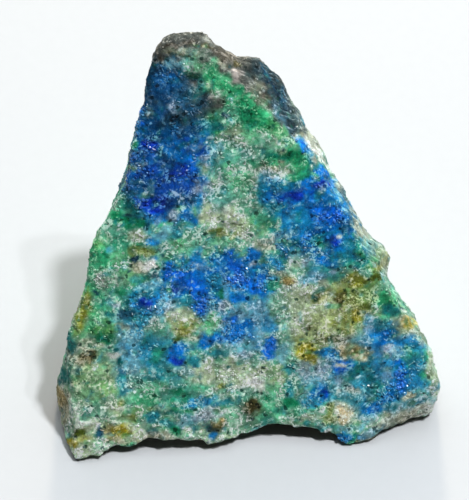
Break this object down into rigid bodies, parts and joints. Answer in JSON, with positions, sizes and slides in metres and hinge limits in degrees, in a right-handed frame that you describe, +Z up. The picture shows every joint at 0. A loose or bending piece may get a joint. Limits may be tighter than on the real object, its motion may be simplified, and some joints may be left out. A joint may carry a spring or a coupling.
{
  "type": "mineral specimen",
  "caption": "Rough wedge-shaped stone of blue azurite and green malachite with a grey-brown crest, standing on its broken underside as a display specimen.",
  "frame": {"origin": "on the surface the stone stands on, under the middle of its bounding box", "axes": "+Z up as the stone stands, -Y towards the broad colourful face, +X to the right of that face"},
  "size_m": [0.0466, 0.0356, 0.04],
  "materials": {
    "ore": "rough, sugary, slightly glittering mix of blue azurite, green malachite, pale quartz and brown stains"
  },
  "bodies": {
    "root": {"azurite_malachite_stone": "ore"}
  },
  "joints": []
}
